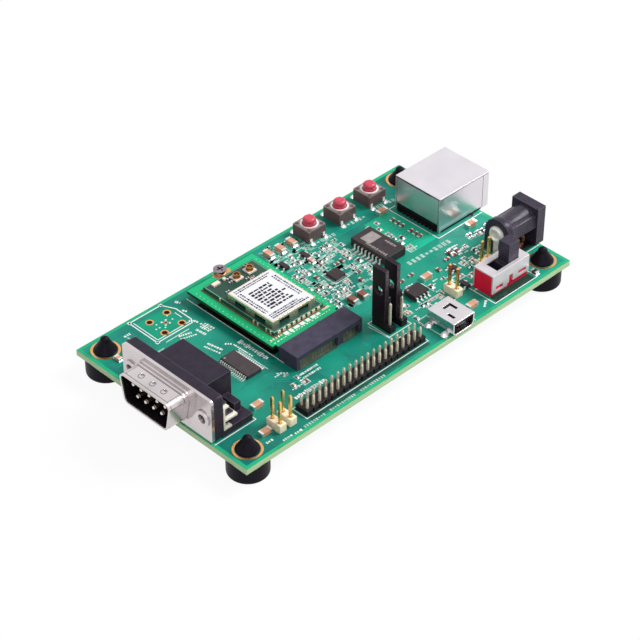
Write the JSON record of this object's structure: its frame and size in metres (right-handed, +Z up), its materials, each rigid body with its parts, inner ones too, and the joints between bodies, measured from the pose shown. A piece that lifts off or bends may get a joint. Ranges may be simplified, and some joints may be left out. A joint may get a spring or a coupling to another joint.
{
  "type": "microcontroller development board",
  "caption": "Green circuit board on rubber feet with serial, network, USB and power sockets, a slide switch, push buttons, pin headers with jumpers and a plug-in radio card.",
  "frame": {"origin": "on the surface the board stands on, below the middle of its box", "axes": "+X along the long edge from the serial connector to the network jack, +Y from the pin header edge to the push button edge, +Z up"},
  "size_m": [0.1216, 0.0606, 0.0244],
  "materials": {
    "board_green": "glossy solder mask over copper",
    "card_green": "glossy solder mask",
    "radio_green": "dark solder mask",
    "gold": "gilded",
    "bright_shield": "bright tinned sheet",
    "tin": "tinned, dull",
    "black_plastic": "moulded, satin",
    "black_rubber": "smooth rubber",
    "red_plastic": "moulded, satin",
    "button_red": "moulded, soft sheen",
    "brown_plastic": "moulded, satin",
    "cream_plastic": "moulded, satin",
    "label_white": "matt film",
    "chip_black": "moulded epoxy",
    "tan_ceramic": "fired ceramic",
    "brown_ceramic": "fired ceramic"
  },
  "bodies": {
    "board": {"main_board": "board_green", "hole_rings": "gold", "rubber_feet": "black_rubber", "serial_shell": "bright_shield", "serial_housing": "black_plastic", "serial_pins": "gold", "serial_inserts": "bright_shield", "serial_board_locks": "tin", "ethernet_shield": "bright_shield", "ethernet_housing": "black_plastic", "ethernet_contacts": "gold", "power_jack_housing": "black_plastic", "power_jack_pin": "tin", "power_jack_leaf": "tin", "usb_shell": "bright_shield", "usb_insert": "black_plastic", "usb_contacts": "gold", "switch_base": "red_plastic", "switch_frame": "bright_shield", "switch_terminals": "tin", "button_housings": "brown_plastic", "button_covers": "tin", "button_domes": "tin", "button_leads": "tin", "card_socket": "black_plastic", "card_socket_contacts": "gold", "card_board": "card_green", "card_spacer": "gold", "card_screw": "black_plastic", "radio_board": "radio_green", "radio_can": "tin", "radio_label": "label_white", "antenna_bases": "cream_plastic", "antenna_sockets": "gold", "pin_header_strip": "black_plastic", "pin_header_pins": "gold", "link_header_strips": "cream_plastic", "link_header_pins": "gold", "jumper_header_strips": "black_plastic", "jumper_header_pins": "gold", "network_transformer": "chip_black", "serial_driver": "chip_black", "regulator_chip": "chip_black", "bridge_chip": "chip_black", "transistors": "chip_black", "chip_leads": "tin", "capacitor_bodies": "tan_ceramic", "capacitor_ends": "tin", "resistor_bodies": "brown_ceramic", "resistor_ends": "tin"},
    "button_1": {"button_1": "button_red"},
    "button_2": {"button_2": "button_red"},
    "button_3": {"button_3": "button_red"},
    "switch_lever": {"switch_lever": "black_plastic"},
    "jumper_1": {"jumper_1": "black_plastic", "jumper_clip_1": "tin"},
    "jumper_2": {"jumper_2": "black_plastic", "jumper_clip_2": "tin"}
  },
  "joints": [
    {"name": "button_1_press", "type": "slide", "parent": "board", "child": "button_1", "axis": [0, 0, -1], "range_m": [0, 0.00025], "stiffness_N_per_m": 6000},
    {"name": "button_2_press", "type": "slide", "parent": "board", "child": "button_2", "axis": [0, 0, -1], "range_m": [0, 0.00025], "stiffness_N_per_m": 6000},
    {"name": "button_3_press", "type": "slide", "parent": "board", "child": "button_3", "axis": [0, 0, -1], "range_m": [0, 0.00025], "stiffness_N_per_m": 6000},
    {"name": "switch_slide", "type": "slide", "parent": "board", "child": "switch_lever", "axis": [-1, 0, 0], "range_m": [0, 0.0042]},
    {"name": "jumper_1_pull", "type": "slide", "parent": "board", "child": "jumper_1", "axis": [0, 0, 1], "range_m": [0, 0.008]},
    {"name": "jumper_2_pull", "type": "slide", "parent": "board", "child": "jumper_2", "axis": [0, 0, 1], "range_m": [0, 0.008]}
  ]
}
